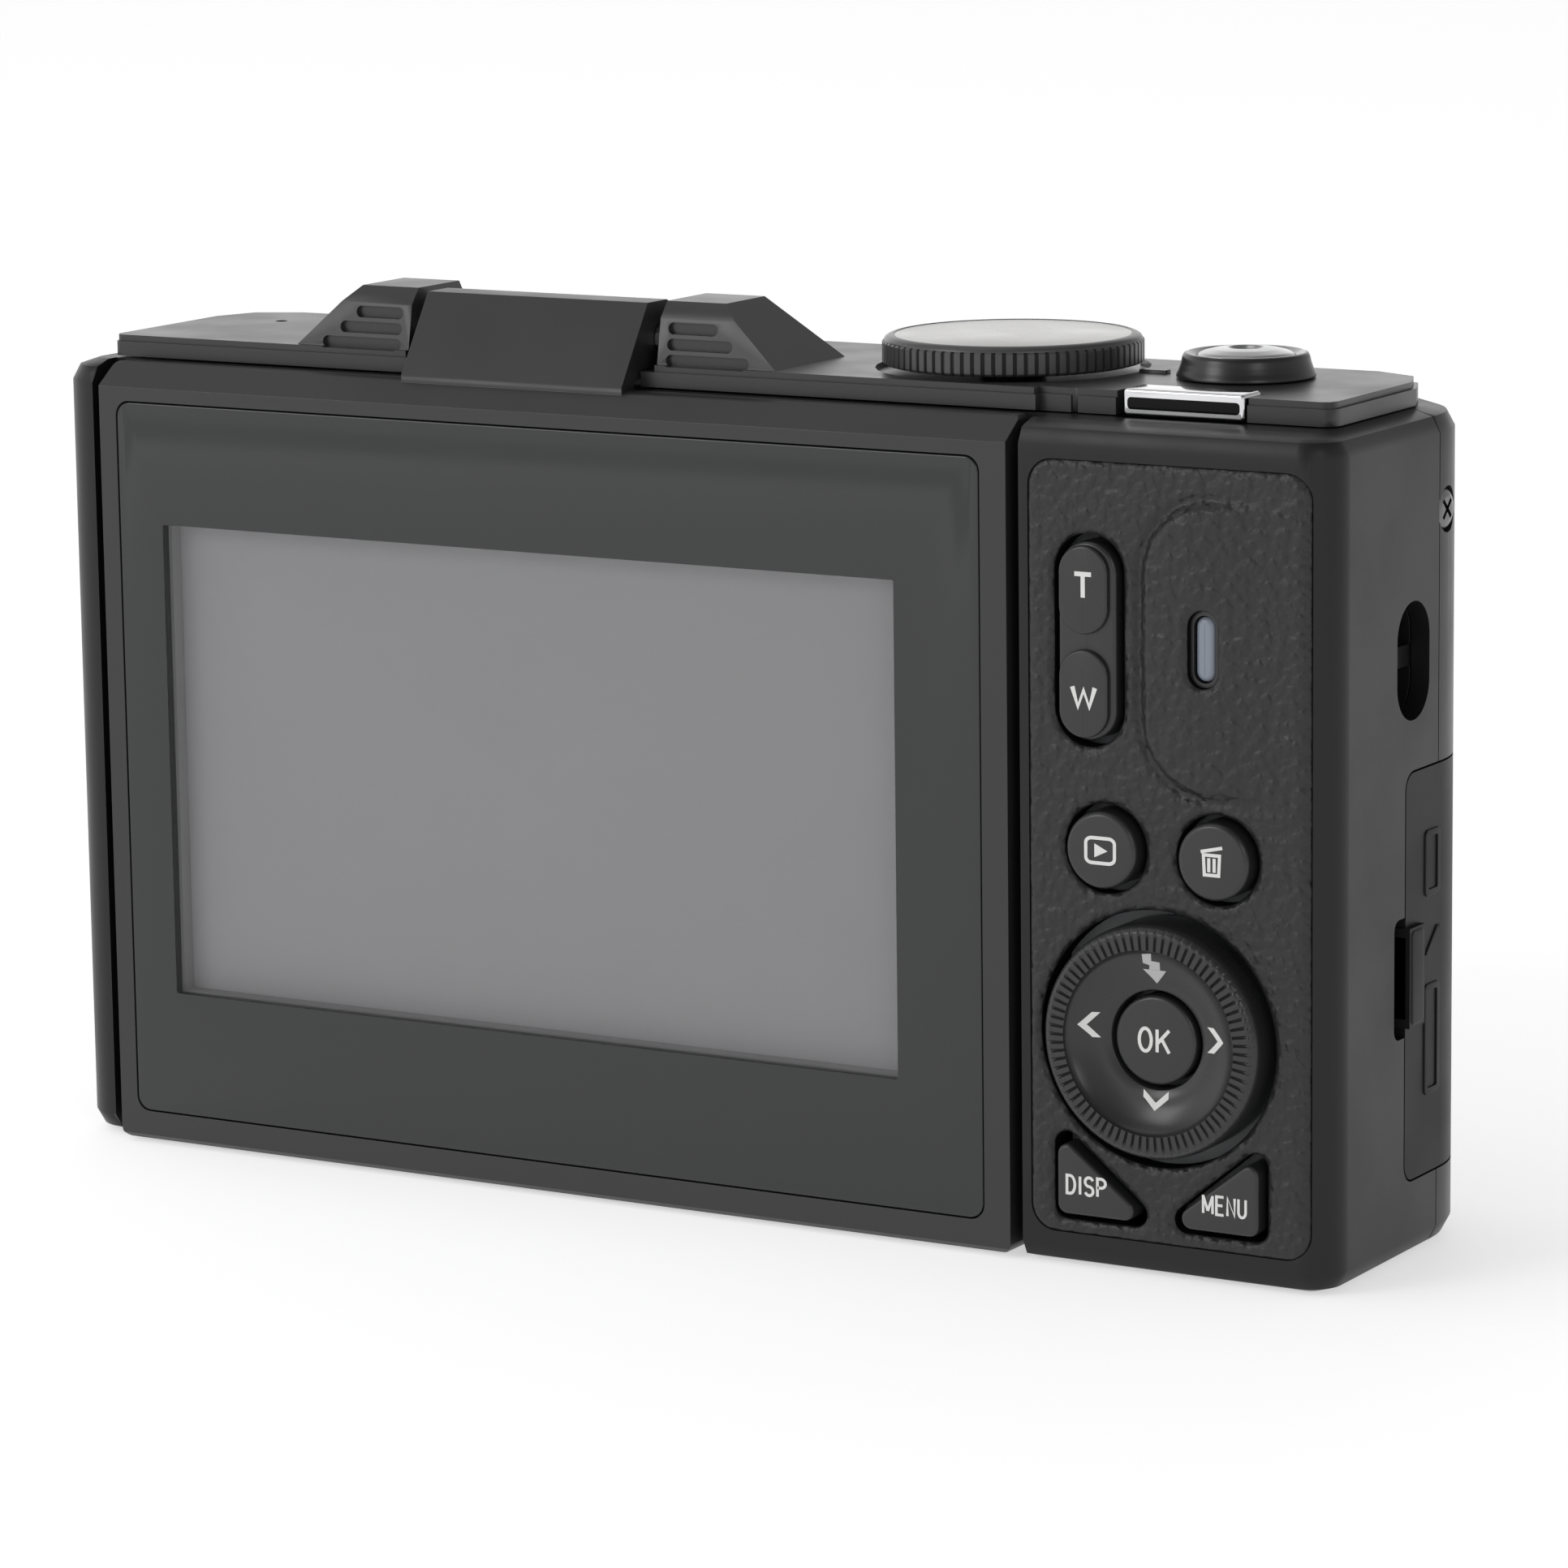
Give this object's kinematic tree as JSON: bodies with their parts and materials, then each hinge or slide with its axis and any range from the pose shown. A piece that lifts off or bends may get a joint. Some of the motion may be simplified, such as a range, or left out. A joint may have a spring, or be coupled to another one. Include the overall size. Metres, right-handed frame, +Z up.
{
  "type": "compact digital camera",
  "caption": "Compact digital camera with a flip-up touch screen, leather-look grips, mode dial, keys that press, a telescoping lens, a port flap and a battery door.",
  "frame": {"origin": "middle of the camera's box, on the plane that it stands on", "axes": "+X right as seen from the back, +Y towards the lens, +Z up; the screen faces -Y"},
  "size_m": [0.1135, 0.0391, 0.0694],
  "materials": {
    "body_plastic": "fine satin texture, black",
    "screen_bezel": "smooth satin black",
    "key_plastic": "smooth black with a soft sheen, white printed symbols",
    "grip_leather": "black synthetic leather with pebble grain",
    "cover_glass": "glossy dark grey touch glass",
    "screen_panel": "grey display, switched off",
    "chrome": "polished",
    "dark_chrome": "glossy black chrome",
    "steel": "drawn",
    "screw_steel": "black oxide",
    "brass": "turned",
    "port_rubber": "matt black",
    "silicone": "translucent grey",
    "board": "green solder mask",
    "clear_lens": "coated optical glass",
    "clear_window": "clear with fine prisms",
    "light_guide": "bluish diffuser",
    "battery_wrap": "smooth wrap",
    "lens_metal": "black anodised, fine turning marks"
  },
  "bodies": {
    "body": {"rear_cover": "body_plastic", "front_cover": "body_plastic", "top_cover": "body_plastic", "side_screw_right": "screw_steel", "side_screw_left": "screw_steel", "bottom_screw_left": "screw_steel", "bottom_screw_middle": "screw_steel", "hinge_pin_left": "steel", "hinge_pin_right": "steel", "rear_grip_pad": "grip_leather", "status_led": "light_guide", "key_membrane": "silicone", "key_board": "board", "mode_switch": "body_plastic", "shutter_ring": "dark_chrome", "lens_housing": "body_plastic", "lens_ring": "lens_metal", "image_sensor": "board", "zoom_motor": "steel", "flash_window": "clear_window", "flash_reflector": "chrome", "flash_tube": "clear_window", "flash_capacitor": "port_rubber", "af_lamp_window": "light_guide", "front_grip_pad": "grip_leather", "usb_socket": "steel", "video_socket": "steel", "strap_anchor": "body_plastic", "door_hinge_rod": "steel", "battery": "battery_wrap", "battery_holder": "body_plastic", "card_socket": "steel", "main_board": "board", "tripod_socket": "brass", "speaker": "port_rubber", "microphone": "steel"},
    "screen": {"screen_frame": "screen_bezel", "touch_glass": "cover_glass", "lcd_panel": "screen_panel", "screen_back_cover": "body_plastic"},
    "zoom_rocker": {"zoom_rocker": "key_plastic"},
    "play_button": {"play_button": "key_plastic"},
    "erase_button": {"erase_button": "key_plastic"},
    "display_button": {"display_button": "key_plastic"},
    "menu_button": {"menu_button": "key_plastic"},
    "ok_button": {"ok_button": "key_plastic"},
    "pad_cushion": {"pad_cushion": "silicone"},
    "control_pad": {"control_pad": "key_plastic"},
    "mode_dial": {"mode_dial": "lens_metal"},
    "shutter_button": {"shutter_button": "dark_chrome"},
    "power_button": {"power_button": "chrome"},
    "lens_outer": {"lens_outer_tube": "lens_metal"},
    "lens_inner": {"lens_inner_tube": "lens_metal", "front_element": "clear_lens"},
    "barrier_upper": {"barrier_upper": "port_rubber"},
    "barrier_lower": {"barrier_lower": "port_rubber"},
    "port_flap": {"port_flap": "port_rubber"},
    "battery_door": {"battery_door": "body_plastic"},
    "door_latch": {"door_latch": "key_plastic"}
  },
  "joints": [
    {"name": "screen_hinge", "type": "hinge", "parent": "body", "child": "screen", "pos_m": [-0.01375, -0.01, 0.0664], "axis": [-1, 0, 0], "range_deg": [0, 180]},
    {"name": "zoom_rocker_tilt", "type": "hinge", "parent": "body", "child": "zoom_rocker", "pos_m": [0.03705, -0.0154, 0.0471], "axis": [1, 0, 0], "range_deg": [-3, 3], "stiffness_Nm_per_rad": 0.12},
    {"name": "play_press", "type": "slide", "parent": "body", "child": "play_button", "axis": [0, 1, 0], "range_m": [0, 0.0005], "stiffness_N_per_m": 900},
    {"name": "erase_press", "type": "slide", "parent": "body", "child": "erase_button", "axis": [0, 1, 0], "range_m": [0, 0.0005], "stiffness_N_per_m": 900},
    {"name": "display_press", "type": "slide", "parent": "body", "child": "display_button", "axis": [0, 1, 0], "range_m": [0, 0.0005], "stiffness_N_per_m": 900},
    {"name": "menu_press", "type": "slide", "parent": "body", "child": "menu_button", "axis": [0, 1, 0], "range_m": [0, 0.0005], "stiffness_N_per_m": 900},
    {"name": "ok_press", "type": "slide", "parent": "body", "child": "ok_button", "axis": [0, 1, 0], "range_m": [0, 0.0004], "stiffness_N_per_m": 900},
    {"name": "pad_tilt_up_down", "type": "hinge", "parent": "body", "child": "pad_cushion", "pos_m": [0.04255, -0.0152, 0.018], "axis": [1, 0, 0], "range_deg": [-2, 2], "stiffness_Nm_per_rad": 0.15},
    {"name": "pad_tilt_left_right", "type": "hinge", "parent": "pad_cushion", "child": "control_pad", "pos_m": [0.04255, -0.0152, 0.018], "axis": [0, 0, 1], "range_deg": [-2, 2], "stiffness_Nm_per_rad": 0.15},
    {"name": "mode_dial_turn", "type": "hinge", "parent": "body", "child": "mode_dial", "pos_m": [0.02245, -0.0023, 0.065], "axis": [0, 0, 1], "continuous": true},
    {"name": "shutter_press", "type": "slide", "parent": "body", "child": "shutter_button", "axis": [0, 0, -1], "range_m": [0, 0.0008], "stiffness_N_per_m": 700},
    {"name": "power_press", "type": "slide", "parent": "body", "child": "power_button", "axis": [0, 0, -1], "range_m": [0, 0.0003], "stiffness_N_per_m": 1200},
    {"name": "lens_extend", "type": "slide", "parent": "body", "child": "lens_outer", "axis": [0, 1, 0], "range_m": [0, 0.014]},
    {"name": "lens_inner_extend", "type": "slide", "parent": "lens_outer", "child": "lens_inner", "axis": [0, 1, 0], "range_m": [0, 0.0112]},
    {"name": "barrier_upper_turn", "type": "hinge", "parent": "lens_inner", "child": "barrier_upper", "pos_m": [-0.00095, 0.0164, 0.0325], "axis": [0, 1, 0], "range_deg": [0, 32]},
    {"name": "barrier_lower_turn", "type": "hinge", "parent": "lens_inner", "child": "barrier_lower", "pos_m": [-0.00095, 0.0164, 0.0295], "axis": [0, -1, 0], "range_deg": [0, 32]},
    {"name": "port_flap_hinge", "type": "hinge", "parent": "body", "child": "port_flap", "pos_m": [0.05575, 0.0045, 0.0214], "axis": [0, 0, 1], "range_deg": [0, 100]},
    {"name": "battery_door_hinge", "type": "hinge", "parent": "body", "child": "battery_door", "pos_m": [0.032, -0.0058, 0.0007], "axis": [-1, 0, 0], "range_deg": [0, 90]},
    {"name": "door_latch_slide", "type": "slide", "parent": "battery_door", "child": "door_latch", "axis": [1, 0, 0], "range_m": [0, 0.0018]}
  ],
  "couplings": [
    {"joint": "lens_inner_extend", "follows": "lens_extend", "ratio": 0.8},
    {"joint": "barrier_lower_turn", "follows": "barrier_upper_turn", "ratio": 1}
  ]
}
